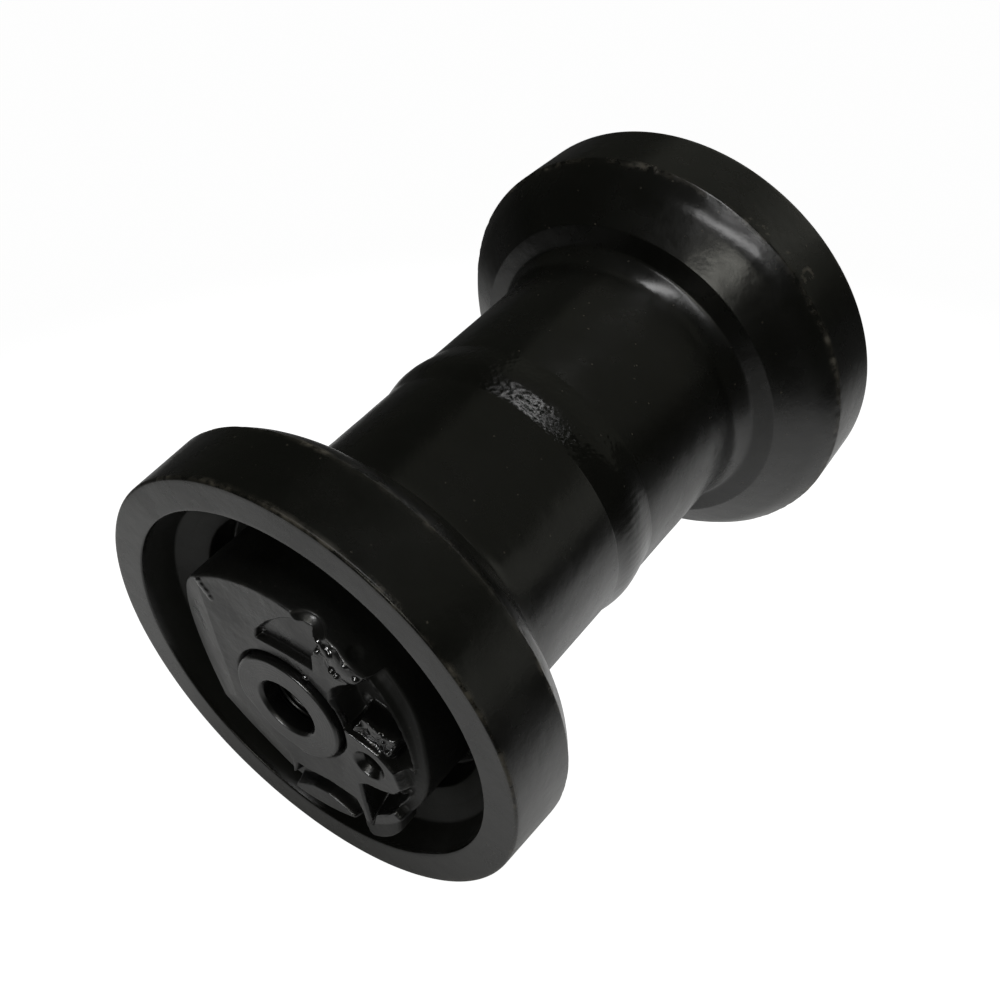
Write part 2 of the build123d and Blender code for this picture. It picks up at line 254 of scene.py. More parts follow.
def noise_node(tree, coords, scale, detail=4.0, roughness=0.6):
    node = tree.nodes.new("ShaderNodeTexNoise")
    node.inputs["Scale"].default_value = scale
    node.inputs["Detail"].default_value = detail
    node.inputs["Roughness"].default_value = roughness
    tree.links.new(coords, node.inputs["Vector"])
    return node.outputs["Fac"]


def cells_node(tree, coords, scale, feature):
    node = tree.nodes.new("ShaderNodeTexVoronoi")
    node.feature = feature
    node.inputs["Scale"].default_value = scale
    tree.links.new(coords, node.inputs["Vector"])
    return node.outputs


def attribute_node(tree, name):
    """A value on the mesh's points: 0 on a mesh that hasn't got it."""
    node = tree.nodes.new("ShaderNodeAttribute")
    node.attribute_name = name
    return node.outputs["Fac"]


def ramp(tree, value, lo, hi, out_lo=0.0, out_hi=1.0):
    node = tree.nodes.new("ShaderNodeMapRange")
    node.interpolation_type = "SMOOTHSTEP"
    node.inputs["From Min"].default_value = lo
    node.inputs["From Max"].default_value = hi
    node.inputs["To Min"].default_value = out_lo
    node.inputs["To Max"].default_value = out_hi
    tree.links.new(value, node.inputs["Value"])
    return node.outputs["Result"]


def math_node(tree, operation, a, b):
    node = tree.nodes.new("ShaderNodeMath")
    node.operation = operation
    for i, v in enumerate((a, b)):
        if isinstance(v, (int, float)):
            node.inputs[i].default_value = v
        else:
            tree.links.new(v, node.inputs[i])
    return node.outputs[0]


def times(tree, a, b):
    return math_node(tree, "MULTIPLY", a, b)


def plus(tree, a, b):
    return math_node(tree, "ADD", a, b)


def mix_colour(tree, factor, a, b):
    node = tree.nodes.new("ShaderNodeMix")
    node.data_type = "RGBA"
    tree.links.new(factor, node.inputs[0])
    for socket, v in ((node.inputs[6], a), (node.inputs[7], b)):
        if isinstance(v, tuple):
            socket.default_value = (*v, 1)
        else:
            tree.links.new(v, socket)
    return node.outputs[2]


def bump_node(tree, height, strength, distance, below=None):
    node = tree.nodes.new("ShaderNodeBump")
    node.inputs["Strength"].default_value = strength
    node.inputs["Distance"].default_value = distance
    tree.links.new(height, node.inputs["Height"])
    if below is not None:
        tree.links.new(below, node.inputs["Normal"])
    return node.outputs["Normal"]


def specks(tree, coords):
    """Small round dust specks, in about one cell out of fourteen."""
    cells = cells_node(tree, coords, SPECKS, "F1")
    chosen = tree.nodes.new("ShaderNodeSeparateColor")
    tree.links.new(cells["Color"], chosen.inputs[0])
    dots = ramp(tree, cells["Distance"], 0.08, 0.2, 1.0, 0.0)
    return times(tree, dots, ramp(tree, chosen.outputs[0], 0.9, 0.96))


DUST = (0.07, 0.066, 0.055)
# a lighter colour for recesses and low faces, as painted fill light
PAINTED_FILL_LIGHT_COLOUR = (0.016, 0.0165, 0.0145)


def painted(name, dark, light, rough, scuffed=DUST, grain=0.5, marked=False, beaded=False):
    """Black dip paint with uneven colour and gloss, orange peel and dust specks.

    marked reads where the mesh is scuffed, wet (glossy), and painted with fill light and shade (lighter, less
    reflective).
    beaded reads where it is covered in fine droplets.
    """
    m, tree, shader, coords = material(name)
    fine = noise_node(tree, coords, FINE)
    colour = mix_colour(tree, ramp(tree, noise_node(tree, coords, BLOTCHES, 5), 0.32, 0.68), dark, light)
    colour = mix_colour(tree, times(tree, specks(tree, coords), 0.6), colour, scuffed)
    roughness = ramp(tree, noise_node(tree, coords, GLOSS_PATCHES), 0.3, 0.7, *rough)
    if marked:
        scuff, painted_fill_and_shade, wet = (attribute_node(tree, mark) for mark in ("scuff", "painted_fill_and_shade", "wet"))
        bare = times(tree, scuff, ramp(tree, fine, 0.38, 0.6))
        colour = mix_colour(tree, bare, colour, scuffed)
        # recesses and low faces take a lighter colour: painted fill light
        colour = mix_colour(tree, times(tree, painted_fill_and_shade, 0.7), colour, PAINTED_FILL_LIGHT_COLOUR)
        for mark, change in ((bare, 0.18), (painted_fill_and_shade, 0.25), (wet, -0.22)):
            roughness = plus(tree, roughness, times(tree, mark, change))
        # and a weaker reflection there: painted shade
        tree.links.new(ramp(tree, painted_fill_and_shade, 0.0, 1.0, 0.5, 0.22), shader.inputs["Specular IOR Level"])
    tree.links.new(colour, shader.inputs["Base Color"])
    tree.links.new(roughness, shader.inputs["Roughness"])
    relief = bump_node(tree, noise_node(tree, coords, PEEL, 3, 0.5), 0.35 * grain, 0.0008)
    relief = bump_node(tree, fine, 0.3 * grain, 0.0003, relief)
    relief = bump_node(tree, noise_node(tree, coords, GRIT, 3), 0.25 * grain, 0.0001, relief)
    if beaded:
        droplets = cells_node(tree, coords, DROPLETS, "SMOOTH_F1")["Distance"]
        relief = bump_node(tree, times(tree, droplets, attribute_node(tree, "beads")), 1.0, 0.0006, relief)
    tree.links.new(relief, shader.inputs["Normal"])
    return m


def machined(name, dark, light, rough, metallic):
    """Inner parts of bare metal or rubber: a colour that varies a little, with fine grain."""
    m, tree, shader, coords = material(name)
    patches = ramp(tree, noise_node(tree, coords, METAL_PATCHES), 0.3, 0.7)
    fine = noise_node(tree, coords, METAL_GRAIN)
    tree.links.new(mix_colour(tree, patches, dark, light), shader.inputs["Base Color"])
    tree.links.new(ramp(tree, fine, 0.3, 0.7, *rough), shader.inputs["Roughness"])
    shader.inputs["Metallic"].default_value = metallic
    tree.links.new(bump_node(tree, fine, 0.2, 0.0002), shader.inputs["Normal"])
    return m


DIP_PAINT = ((0.005, 0.0053, 0.0042), (0.0074, 0.0076, 0.0063))
BRIGHT_SCUFF = (0.11, 0.1, 0.08)
CAST_PAINT = ((0.006, 0.006, 0.006), (0.012, 0.012, 0.012))
SHAFT_PAINT = ((0.007, 0.007, 0.007), (0.012, 0.012, 0.012))

# looks of the pieces made here, and after them those of the CAD nodes that stay, by material slot
MAT = {
    "shell": painted("black_dip_paint", *DIP_PAINT, (0.2, 0.3), scuffed=BRIGHT_SCUFF, marked=True),
    "weld": painted("black_paint_on_weld", *DIP_PAINT, (0.14, 0.24), grain=0.6, beaded=True),
    "collar": painted("black_paint_on_casting", *CAST_PAINT, (0.26, 0.44), grain=1.3, marked=True),
    "shaft": painted("black_paint_on_shaft", *SHAFT_PAINT, (0.2, 0.34)),
    "pin_steel": machined("pin_steel", (0.2, 0.2, 0.2), (0.35, 0.35, 0.34), (0.3, 0.5), 1.0),
    "seal_iron": machined("seal_iron", (0.18, 0.18, 0.18), (0.26, 0.26, 0.26), (0.25, 0.45), 1.0),
    "bushing_bronze": machined("bushing_bronze", (0.5, 0.33, 0.14), (0.62, 0.45, 0.22), (0.25, 0.4), 1.0),
    "seal_rubber": machined("seal_rubber", (0.012, 0.012, 0.012), (0.022, 0.022, 0.021), (0.5, 0.65), 0.0),
}


def paint(obj, mat):
    obj.data.materials.clear()
    obj.data.materials.append(mat)


# ---------------------------------------------------------------- shell halves
SHELL_SEGMENTS = 540


def shell_profile(side):
    """Outline of a shell half in radius and distance from the middle plane, the rim's face first."""
    joint = side * JOINT_Y
    return rounded(
        [
            (67.7, FACE_AT, 0.8),
            (RIM_R - 1.0, FACE_AT, 1.1),
            (RIM_R, RIM_EDGE_AT, 1.0),
            (76.2, FACE_AT - 30.3, 22.0),
            (62.8, FACE_AT - 40.5, 2.0),
            (TUBE_R + 3.4, FACE_AT - 42.7, 3.0),
            (TUBE_R, FACE_AT - 47.0, 14.0),
            # weld groove and lip
            (TUBE_R, joint + 9.0),
            (TUBE_BORE_R + 3, joint + 1.5),
            (TUBE_BORE_R + 3, joint),
            (TUBE_BORE_R, joint),
            # bore, bushing seat, seal seat and recess
            (TUBE_BORE_R, 39.0),
            (BUSHING_R, 39.0),
            (BUSHING_R, 72.0),
            (36.0, 72.0, 1.0),
            (38.2, RECESS_FLOOR_AT, 0.5),
            (RECESS_R, RECESS_FLOOR_AT, 1.0),
            (RECESS_R, FACE_AT - 16.5, 1.0),
            (59.8, FACE_AT - 14.0, 1.0),
            (64.4, FACE_AT - 11.5, 1.5),
        ]
    )


def shell_step(r, y):
    """Longest step of the outline, in millimetres: fine where the outside shows, and coarse in the bore."""
    if r < TUBE_BORE_R - 0.5 and y < RECESS_FLOOR_AT - 0.4:
        return 12.0
    if r < TUBE_R - 0.7 and y < 80:
        return 8.0
    if r > 76.5 and y < 90:
        return 0.6
    return 1.35


# chips in the far rim's paint: direction in degrees, distance from the middle plane, and size
CHIPS = [
    (46.0, 92.4, 3.1), (63.5, 89.9, 0.9), (61.5, 90.6, 1.0),
    (60.0, 89.5, 0.8), (65.5, 89.0, 0.7), (53.5, 90.4, 0.7),
]


def rim_chips(points, r):
    """How bare the paint is at each point of the far rim's tread: chips with a worn border round them."""
    turn = np.degrees(np.arctan2(points[:, 2], points[:, 0]))
    bare = np.zeros(len(points))
    for direction, at, size in CHIPS:
        d = np.hypot(np.radians(turn - direction) * r, points[:, 1] - at) / size
        d = d * (1 + 0.35 * cloud(points, 2.0, 75))
        bare = np.maximum(bare, (1 - smooth(d, 0.75, 1.05)) * (0.6 + 0.4 * smooth(d, 0.35, 0.6)))
    return bare * smooth(r, RIM_R - 1.5, RIM_R - 0.5)


def forged(side):
    """How far the forging's surface stands off its outline, for one end."""

    def displace(p):
        r = np.hypot(p[:, 0], p[:, 2])
        y = p[:, 1]
        waves = 0.06 * cloud(p, 18, 11 + side) + 0.014 * cloud(p, 4, 31 + side)
        waves *= np.clip(smooth(r, 50, 51.5) + smooth(y, 96, 99), 0, 1)
        # the running surface and the rim's face are machined, so they are flatter
        cut = smooth(r, 76.5, 79.3) + smooth(y, FACE_AT - 0.5, FACE_AT - 0.1)
        waves *= 1 - 0.7 * np.clip(cut, 0, 1)
        # the rim's inner edge is ragged
        ragged = hump(y, RIM_EDGE_AT - 0.5, 1.1) * smooth(r, 76.5, 78.5)
        ragged *= smooth(cloud(p, 22, 51 + side), -0.5, 0.5)
        return waves - 0.04 - ragged * np.clip(0.1 + 0.16 * cloud(p, 2.4, 55 + side), 0, 0.4)

    return displace


def shell_half(end, side):
    profile = divided(shell_profile(side), shell_step)
    points = turned(profile, SHELL_SEGMENTS, forged(side))
    r = np.hypot(points[:, 0], points[:, 2])
    y = points[:, 1]
    inner_edge = hump(y, RIM_EDGE_AT - 0.3, 0.9) * smooth(r, 77.5, 79.5)
    outer_edge = smooth(r, 78.0, 79.2) * smooth(y, FACE_AT - 1.5, FACE_AT - 0.5)
    worn = smooth(cloud(points, 9, 71), 0.0, 0.6)
    scuff = np.clip((inner_edge + 0.8 * outer_edge) * (0.25 + worn), 0, 1)
    if side == FAR:
        scuff = np.maximum(scuff, rim_chips(points, r))
    # painted fill light and painted shade in the recess, but not on the rim's face: a lighter colour and a
    # weaker reflection
    painted_fill_and_shade = smooth(y, 80, 90) * (1 - smooth(y, 107.0, 110.8)) * (1 - smooth(r, 68.5, 70))
    points[:, 1] *= side
    marks = {"scuff": scuff, "painted_fill_and_shade": painted_fill_and_shade}
    obj = make_mesh(f"shell_{end}", points, grid_faces(len(profile), SHELL_SEGMENTS), marks)
    paint(obj, MAT["shell"])
    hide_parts(f"shell_half_{end}")
    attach(obj, "roller")
    return obj


shells = [shell_half(end, side) for end, side in (("near", NEAR), ("far", FAR))]


# ---------------------------------------------------------------- weld
WELD_SEGMENTS = 700
WELD_HALF_WIDTH = 12.5
WELD_CROWN = 1.6
WELD_EDGE = 0.15         # how far the weld's edges dip under the tube's surface
WELD_PEAK = (0.47, 0.5)  # where across the weld its crown starts and ends
RIPPLES = 118


def weld_profile():
    """Outline of the weld: its crown from the near edge to the far one, and its root in the groove."""
    t = np.linspace(0, 1, 60)
    y = JOINT_Y + (2 * t - 1) * WELD_HALF_WIDTH
    up, down = WELD_PEAK
    crown = np.where(t < up, smooth(t, 0.03, up), 1 - smooth(t, down, 1.0)) * WELD_CROWN
    root = [(TUBE_R - 0.5, 9.0), (TUBE_BORE_R + 3, 1.5), (TUBE_BORE_R + 3, -1.5), (TUBE_R - 0.5, -9.0)]
    return np.concatenate([np.stack([TUBE_R - WELD_EDGE + crown, y], 1), np.add(root, (0, JOINT_Y))])


def weld():
    profile = weld_profile()
    points = turned(profile, WELD_SEGMENTS)
    x, y, z = points.T
    r = np.hypot(x, z)
    across = (y - JOINT_Y) / 6.0
    height = np.clip((r - TUBE_R) / 1.4, 0, 1)
    ripple = np.sin(np.arctan2(z, x) * RIPPLES + 1.2 * across**2 + 1.5 * noise3(points, 9, 5))
    spatter = smooth(cloud(points, 30, 3), -0.1, 0.5)
    upper = smooth(z, 33, 42) * smooth(x, -26, -14)
    lift = 0.012 * ripple + 0.05 * cloud(points, 7, 7)
    lift = height * (lift + (0.008 + 0.06 * spatter * upper) * cloud(points, 1.6, 9, 2))
    points[:, ::2] *= (1 + lift / r)[:, None]
    marks = {"beads": upper * (0.3 + 0.7 * spatter)}
    obj = make_mesh("weld_bead_ring", points, grid_faces(len(profile), WELD_SEGMENTS), marks)
    paint(obj, MAT["weld"])
    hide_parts("weld_bead")
    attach(obj, "roller")
    return obj


weld_ring = weld()

# ---------------------------------------------------------------- end collars
COLLAR_SEGMENTS = 600
FACE_STEPS = 82
WALL_STEPS = 40
SLOPE_START = 27.0       # distance from the axis where the flat face ends
SLOPES = ((188.0, 0.36), (236.0, 0.27))    # direction in degrees and fall of each sloping flat
SLOPES_BEGIN = (95, 110)         # directions between which the slopes set in
SLOPES_END = (258.5, 265.5)      # and between which they stop
RELIEF_R = 21.6          # relief round the shaft, and its depth
RELIEF_DEPTH = 2.0
EDGE_ROUND = 1.2
WALL_R = 45.2            # outer side of the pockets
LOW_WALL_FALL = 3.0      # how much lower the low wall is towards the rib
RIB_HALF_WIDTH = 4.0
RIB_RISE = 0.4
DOME = (24.3, 36.5)      # on the rib
DOME_R = 6.5
DOME_RISE = 1.45
PAD = [(20.5, 2.5), (26.5, 14), (41, 12.5), (37.8, -0.6), (33, 1.5)]     # lumpy pad beside the lobe
PAD_DEPTH = 1.9
SCOOP_DEG = 75
SCOOP_R = 8.0
SCOOP_PROUD = 3.0        # how far the scoop's centre is past the collar's edge and before its face
FOOT_DEPTH = 9.0
SEAT_MOUTH_R = 38.1      # the cone that the seal's rubber ring sits in
SEAT_END_R = 36.0
SEAT_DEPTH = 10.2
# how far the foot stands out past the collar's edge, by direction in degrees
FOOT_TURN = (-61.0, -60.2, -58.9, -54.9, -48.0, -41.1, -38.0, -35.5)
FOOT_REACH = (0.0, 4.0, 6.3, 6.3, 5.2, 3.5, 1.6, 0.0)


def pocket_outlines():
    """The face's pockets and its low outer wall: outline in x and z, depth, and width of the sloping side."""
    past_edge = COLLAR_R + 6
    beside_rib = [(-10.3, 25.0), (0.0, 26.0), (11.5, 26.2), (11.8, 32.5), (15.5, 40.0)]
    beside_rib += [(12.5, 44.5), (6.8, 45.5), (1.8, 42.0), (-4.4, 36.0), (-9.5, 28.9)]
    above_lobe = [(21.5, 5.5), (17.5, 15.5), (19, 22.5), (25, 28)] + arc_points(WALL_R, 50, -4)
    above_lobe += [(39.5, -1.5), (34, 2.6), (27, 4.3)]
    below_lobe = [(25.5, -21), (28.5, -18.6), (34, -17.2), (40, -14)] + arc_points(WALL_R, -18, -49, 3)
    below_lobe += [(28.5, -40), (26.6, -31)]
    bottom = [(-1.5, -33), (4, -32.6), (12, -30.8), (22.5, -31.2), (24.5, -36), (25.6, -43)]
    bottom += arc_points(past_edge, -60.5, -64, 1)
    bottom += [(22.8, -44.2), (17.5, -41), (10.5, -39), (4, -40.2), (-3.5, -45)]
    bottom += arc_points(past_edge, -98, -104, 1) + [(-3.4, -39.5)]
    low_wall = arc_points(WALL_R - 0.6, 49, 2, 8) + [(39.9, -2.2), (42.3, -9.5), (39.6, -13.6)]
    low_wall += arc_points(WALL_R - 0.6, -19, -33, 3) + arc_points(past_edge, -33, 49, 10)
    return [
        (beside_rib, 2.4, 1.0),
        (above_lobe, 9.0, 3.4),
        (below_lobe, 9.0, 2.4),
        (bottom, 4.5, 1.4),
        (low_wall, 4.0, 2.6),
    ]


def inside_by(outline, x, z):
    """Distance from the edge of a closed outline, positive inside it."""
    outline = np.asarray(outline, float)
    nearest = np.full(x.shape, np.inf)
    inside = np.zeros(x.shape, bool)
    for (ax, az), (bx, bz) in zip(outline, np.roll(outline, -1, 0)):
        ux, uz = bx - ax, bz - az
        t = np.clip(((x - ax) * ux + (z - az) * uz) / (ux * ux + uz * uz), 0, 1)
        nearest = np.minimum(nearest, np.hypot(x - ax - ux * t, z - az - uz * t))
        if az != bz:
            inside ^= ((az > z) != (bz > z)) & (x < ux * (z - az) / uz + ax)
    return np.where(inside, nearest, -nearest)


def face_drop(x, z):
    """How far the cast face lies behind its flat top, at points across it; less than 0 is proud."""
    turn = np.degrees(np.arctan2(z, x)) % 360
    drop = np.zeros(x.shape)
    for direction, fall in SLOPES:
        dx, dz = polar(1, direction)
        drop = np.maximum(drop, fall * (x * dx + z * dz - SLOPE_START))
    drop *= smooth(turn, *SLOPES_BEGIN) * (1 - smooth(turn, *SLOPES_END))
    for outline, depth, side in pocket_outlines():
        drop = np.maximum(drop, depth * smooth(inside_by(outline, x, z), -0.35 * side, 0.65 * side))
    # the low wall falls away further towards the rib
    r = np.hypot(x, z)
    low = smooth(turn, 3, 35) * (turn < 60) * smooth(r, WALL_R - 1.5, COLLAR_R)
    drop = drop + LOW_WALL_FALL * low * smooth(drop, 2.5, 3.8)
    # the pad's outer part is lumpy, and its inner end is higher
    at = np.stack([x, z, np.zeros(x.shape)], 1)
    lumps = smooth(x, 28, 33) * (0.55 * cloud(at, 2.6, 41, 2)) + 0.1 * cloud(at, 5, 43)
    on_pad = smooth(inside_by(PAD, x, z), -0.5, 1.4) * smooth(drop, 1.8, 4.0)
    drop = drop * (1 - on_pad) + (PAD_DEPTH + lumps - 0.8 * smooth(27.0 - x, 0, 2.5)) * on_pad
    # ball-shaped scoop in the top edge
    sx, sz = polar(COLLAR_R + SCOOP_PROUD, SCOOP_DEG)
    ball = SCOOP_R**2 - (x - sx) ** 2 - (z - sz) ** 2
    drop = np.maximum(drop, np.sqrt(np.maximum(ball, 0)) - SCOOP_PROUD)
    # rib over the lock pin, with a dome on it
    px, pz = polar(1, PIN_DEG)
    along, across = x * px + z * pz, z * px - x * pz
    rib = smooth(RIB_HALF_WIDTH - np.abs(across), -0.7, 0.9)
    rib *= smooth(along, 22, 26) * (1 - smooth(along, 45.5, 49))
    drop = drop * (1 - rib) - RIB_RISE * rib
    from_dome = np.hypot(x - DOME[0], z - DOME[1])
    on_dome = smooth(DOME_R - from_dome, -0.6, 0.8)
    cap = DOME_RISE * (1 - (from_dome / DOME_R) ** 2)
    return drop * (1 - on_dome) - np.maximum(cap, -0.3) * on_dome


# beads of thick paint on the face: x, z, radius and height
BEADS = [
    (14.4, 36.6, 1.9, 1.0), (18.6, 40.0, 2.4, 1.1), (15.8, 42.0, 1.3, 0.8), (17.0, 37.6, 1.2, 0.8),
    (20.6, 33.6, 1.4, 1.5), (22.4, 32.4, 1.2, 1.4), (21.4, 44.0, 1.2, 0.7), (26.4, 40.6, 1.2, 1.2),
    (-31.4, 36.6, 1.8, 0.5), (-30.2, 34.6, 1.7, 0.5), (-28.6, 33.0, 1.7, 0.5), (-27.4, 31.2, 1.4, 0.45),
    (8.3, 19.9, 1.3, 0.8), (40.6, -35.6, 1.6, 1.0), (24.6, 43.6, 1.6, 1.0), (29.5, 35.5, 1.3, 0.9),
    (23.6, 12.5, 2.0, 1.2), (26.0, 9.0, 1.5, 0.9), (36.5, 4.0, 1.4, 1.3), (39.0, 7.0, 1.2, 1.2),
    (35.5, 8.6, 1.0, 1.0),
]


def beads(x, z):
    """Height of the paint beads at points across the face."""
    height = np.zeros(x.shape)
    for bx, bz, radius, rise in BEADS:
        d = np.hypot(x - bx, z - bz) / radius
        height = np.maximum(height, rise * np.sqrt(np.clip(1 - d * d, 0, 1)))
    return height


def wetness(x, z):
    """How wet the paint looks across the face: most on beads, dome and pad, least on the left side."""
    wet = smooth(beads(x, z), 0.02, 0.2)
    wet = np.maximum(wet, 1 - smooth(np.hypot(x - DOME[0], z - DOME[1]), DOME_R, DOME_R + 1.5))
    wet = np.maximum(wet, smooth(inside_by(PAD, x, z), -1.5, 0.5))
    return np.maximum(wet, 0.7 * smooth(x, 16, 22))


def sunk_hole(x, z):
    """Gathers grid points near the dowel hole onto its countersink, wall and floor: new x, z and depth."""
    hx, hz = polar(DOWEL_AT_R, DOWEL_DEG)
    dx, dz = x - hx, z - hz
    d = np.hypot(dx, dz)
    # distances from the hole's centre before the move and after it, and the depths there
    before = (0, 2.3, 4.3, 7.2, 11.0)
    after = (0, DOWEL_R, DOWEL_R, 5.9, 11.0)
    depths = (DOWEL_DEPTH, DOWEL_DEPTH, 2.4, 0, 0)
    scale = np.interp(d, before, after) / np.maximum(d, 1e-6)
    scale = np.where(d < before[-1], scale, 1)
    return hx + dx * scale, hz + dz * scale, np.interp(d, before, depths)


def collar_points():
    """Rows of the near collar's surface: bore, relief, face, edge, side wall, back and seal seat."""
    theta = np.arange(COLLAR_SEGMENTS) * (2 * math.pi / COLLAR_SEGMENTS)
    rows = []

    def row(radius, at):
        r = np.broadcast_to(radius, theta.shape)
        y = -np.broadcast_to(at, theta.shape)
        rows.append(np.stack([r * np.cos(theta), y, r * np.sin(theta)], 1))

    row(SHAFT_R, SEAL_FLOOR_AT)
    row(SHAFT_R, COLLAR_FACE_AT - RELIEF_DEPTH)
    for k in range(1, 5):
        row(SHAFT_R + (RELIEF_R - SHAFT_R) * k / 5, COLLAR_FACE_AT - RELIEF_DEPTH * (1 - k / 5))
    before_face = len(rows)
    foot = np.interp((np.degrees(theta) + 180) % 360 - 180, FOOT_TURN, FOOT_REACH)
    last_flat = COLLAR_R + foot - EDGE_ROUND
    for t in np.linspace(0, 1, FACE_STEPS):
        row(RELIEF_R + (last_flat - RELIEF_R) * t, COLLAR_FACE_AT)
    face_rows = range(before_face, len(rows))
    edge_at = COLLAR_FACE_AT - face_drop(last_flat * np.cos(theta), last_flat * np.sin(theta))
    for k in range(1, 6):
        a = math.radians(90 * k / 5)
        row(last_flat + EDGE_ROUND * math.sin(a), edge_at - EDGE_ROUND * (1 - math.cos(a)))
    top = edge_at - EDGE_ROUND
    bottom = COLLAR_BACK_AT + 1.0
    for t in np.linspace(0, 1, WALL_STEPS)[1:]:
        at = top + (bottom - top) * t
        row(COLLAR_R + foot * smooth(at - COLLAR_FACE_AT + FOOT_DEPTH, -0.9, 0.6), at)
    # the back's rounded edge and its flat, the seal's cone and the floor behind the seal
    for r, above_back in ((COLLAR_R - 0.3, 0.3), (COLLAR_R - 1.0, 0), (44.0, 0), (38.7, 0)):
        row(r, COLLAR_BACK_AT + above_back)
    for t in (0.0, 0.5, 1.0):
        row(SEAT_MOUTH_R + (SEAT_END_R - SEAT_MOUTH_R) * t, COLLAR_BACK_AT + 0.5 + SEAT_DEPTH * t)
    for r in (SEAT_END_R - 1.0, 28.0):
        row(r, SEAL_FLOOR_AT)
    points = np.array(rows)
    for i in face_rows:
        x, z, depth = sunk_hole(points[i][:, 0], points[i][:, 2])
        drop = face_drop(x, z) - beads(x, z) * smooth(-depth, -0.5, 0)
        behind = np.maximum(drop, 0) * (depth == 0) + np.minimum(drop, 0) + depth
        points[i] = np.stack([x, behind - COLLAR_FACE_AT, z], 1)
    return points


def cast(points, side):
    """Gives the collar cast waves, and a dimple at the lock pin. Returns 1 on the side wall, 0 inside it."""
    r = np.hypot(points[:, 0], points[:, 2])
    on_face = smooth(-points[:, 1], 103.0, 107.5)
    waves = 0.05 * cloud(points, 8, 81 + side) + 0.012 * cloud(points, 1.8, 87 + side)
    inner = (r < COLLAR_R - 0.8) * on_face * smooth(r, SHAFT_R + 0.2, RELIEF_R)
    points[:, 1] += (0.05 + waves) * inner
    side_wall = smooth(r, COLLAR_R - 1.0, COLLAR_R - 0.1)
    points[:, ::2] *= (1 - side_wall * np.clip(0.12 + 1.2 * waves, 0, 1) / r)[:, None]
    px, pz = polar(COLLAR_R, PIN_DEG)
    from_pin = np.linalg.norm(points - (px, -PIN_AT, pz), axis=1)
    points[:, ::2] *= (1 - 0.7 * smooth(2.7 - from_pin, 0, 1.2) * side_wall / r)[:, None]
    return side_wall


def turned_round(points):
    """The near collar's points, turned half round the dowel hole's direction to make the far one."""
    dx, dz = polar(1, DOWEL_DEG)
    x, y, z = points.T
    reach = x * dx + z * dz
    return np.stack([2 * reach * dx - x, -y, 2 * reach * dz - z], 1)


def collar(end, side):
    rows = collar_points()
    points = rows.reshape(-1, 3)
    r = np.hypot(points[:, 0], points[:, 2])
    side_wall = cast(points, side)
    x, y, z = points.T
    edge = hump(r, COLLAR_R - 0.8, 0.5) * smooth(-y, 113.5, 115.5)
    scuff = np.clip(0.5 * edge * smooth(cloud(points, 8, 91), 0.1, 0.7), 0, 1)
    # the side wall and the low faces to the right get painted fill light and painted shade: a lighter colour
    # and a weaker reflection
    sunk = smooth(y + COLLAR_FACE_AT, 2.0, 3.4) * smooth(x, 14, 20)
    sunk *= 1 - smooth(inside_by(PAD, x, z), -1.5, 0.5)
    painted_fill_and_shade = np.maximum(0.6 * side_wall, 0.85 * sunk)
    wet = wetness(x, z) * (1 - side_wall) * (1 - 0.7 * sunk)
    if side == FAR:
        points = turned_round(points)
    marks = {"scuff": scuff, "painted_fill_and_shade": painted_fill_and_shade, "wet": wet}
    obj = make_mesh(f"end_collar_{end}", points, grid_faces(len(rows), COLLAR_SEGMENTS), marks)
    paint(obj, MAT["collar"])
    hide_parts(f"collar_{end}")
    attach(obj, "axle")
    return obj


collars = [collar(end, side) for end, side in (("near", NEAR), ("far", FAR))]


# ---------------------------------------------------------------- shaft
SHAFT_SEGMENTS = 192
THREAD_PITCH = 1.5
THREAD_DEPTH = 0.8
HOLE_BOTTOM_AT = 82.8
END_RING = (11.8, 19.0)  # radii of the flat ring on each end face
GROOVE_R = 17.9          # floor of the O-ring's groove
FLANGE_R = 28.0          # the middle flange, and the distance of its sides from the middle plane
FLANGE_AT = 34.7
PAINT_SAG = 0.9


def shaft_outline():
    """Outline from the near hole's bottom round to the far one's: radius, y, and 1 where it is threaded."""
    end = SHAFT_END_AT
    rows = []

    def step(*corners):
        rows.extend((r, y, 0.0) for r, y in corners)

    # oil passage, oil plug's seat, and the tapped hole
    near_hole = [(0.8, -70.0), (4.9, -70.5), (4.9, -79.5), (5.2, -79.85), (BOLT_R, -HOLE_BOTTOM_AT)]
    step(*near_hole)
    rows.extend((BOLT_R, -at, 1.0) for at in np.arange(HOLE_BOTTOM_AT + 0.5, end - 0.9, 0.25))
    step((BOLT_R + 0.75, -end + 0.35), (BOLT_R + 0.95, -end + 0.08), (BOLT_R + 1.2, -end))
    # end face and its rounded edge
    step(*((r, -end) for r in np.linspace(*END_RING, 26)))
    edge = ((0.7, 0.06), (0.4, 0.2), (0.15, 0.45), (0.0, 0.8))
    step(*((SHAFT_R - inwards, -end + behind) for inwards, behind in edge))
    # end journal, O-ring groove, chamfer, main journal and middle flange
    step(*((SHAFT_R, y) for y in (-117.6, -117.0, -116.0, -115.0, -110.0, -99.7)))
    step((GROOVE_R, -99.6), (GROOVE_R, -97.2), (SHAFT_R, -97.1), (SHAFT_R, -SEAL_FLOOR_AT))
    step((JOURNAL_R - 0.3, -SEAL_FLOOR_AT), (JOURNAL_R, -SEAL_FLOOR_AT + 0.3), (JOURNAL_R, -60.0))
    step((JOURNAL_R, -FLANGE_AT - 0.1), (JOURNAL_R + 0.1, -FLANGE_AT))
    step((FLANGE_R - 0.3, -FLANGE_AT), (FLANGE_R, -FLANGE_AT + 0.3))
    mirrored = [(r, -y, t) for r, y, t in rows[len(near_hole):][::-1]]
    mirrored += [(BOLT_R, HOLE_BOTTOM_AT, 0.0), (5.0, 79.75, 0.0), (0.8, 77.1, 0.0)]
    return np.array(rows + mirrored)


